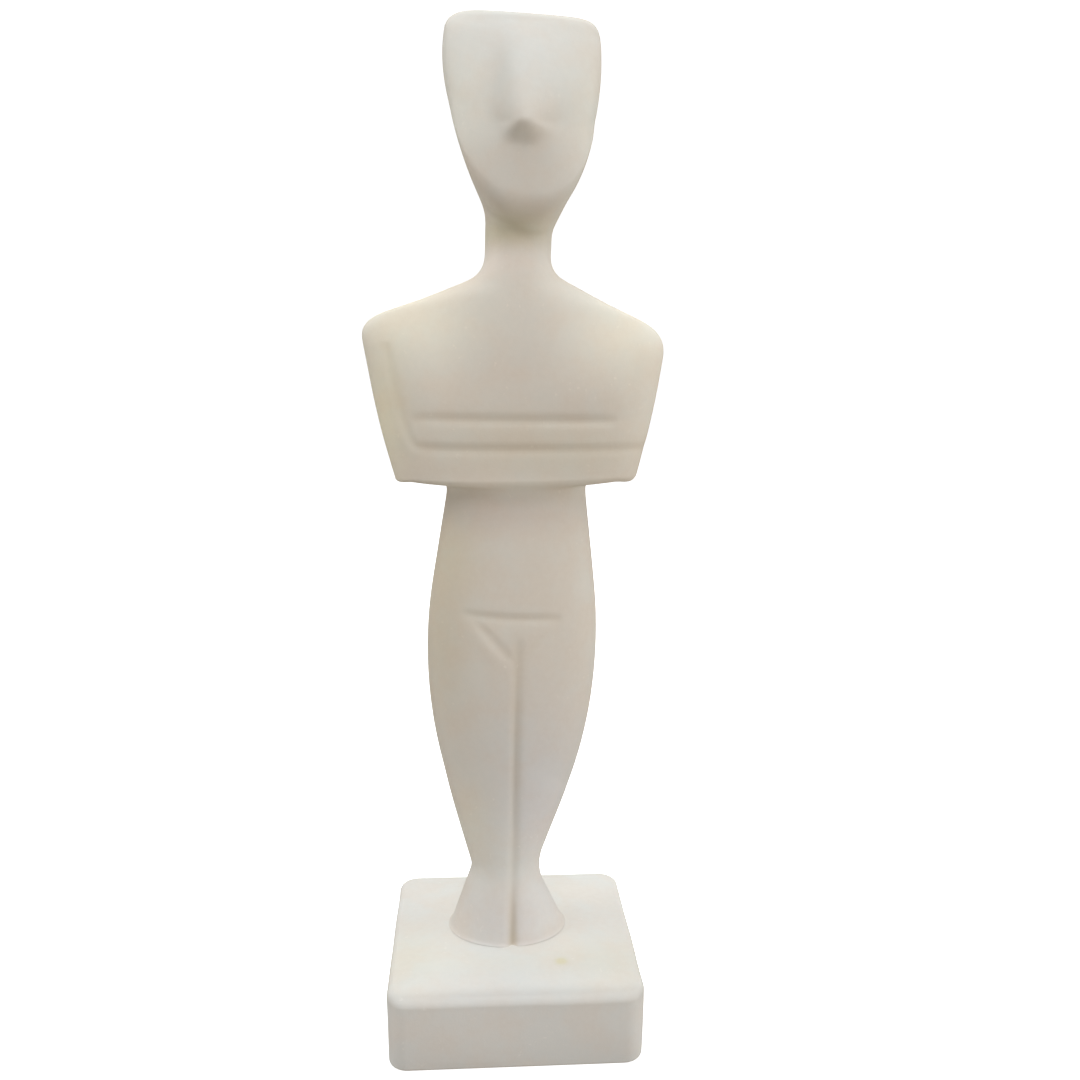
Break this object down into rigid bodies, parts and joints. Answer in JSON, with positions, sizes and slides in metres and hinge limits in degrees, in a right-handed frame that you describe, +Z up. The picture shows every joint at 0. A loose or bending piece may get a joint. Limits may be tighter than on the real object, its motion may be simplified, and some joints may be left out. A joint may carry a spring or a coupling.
{
  "type": "cycladic figurine",
  "caption": "Standing folded-arm idol with a blank lyre-shaped head and a bare ridge nose, carved in one piece and fixed on a low square plinth; white cast marble.",
  "frame": {"origin": "middle of the plinth's flat underside", "axes": "+Z up the standing figure, the figure faces -Y, +X is the figure's own left (the viewer's right)"},
  "size_m": [0.0579, 0.05, 0.1967],
  "materials": {
    "figurine_marble": "matt fine-ground white cast marble, faintly warm and mottled",
    "plinth_marble": "matt white cast marble with a fine grain, one small ochre stain on top"
  },
  "bodies": {
    "root": {"figurine": "figurine_marble", "plinth": "plinth_marble"}
  },
  "joints": []
}
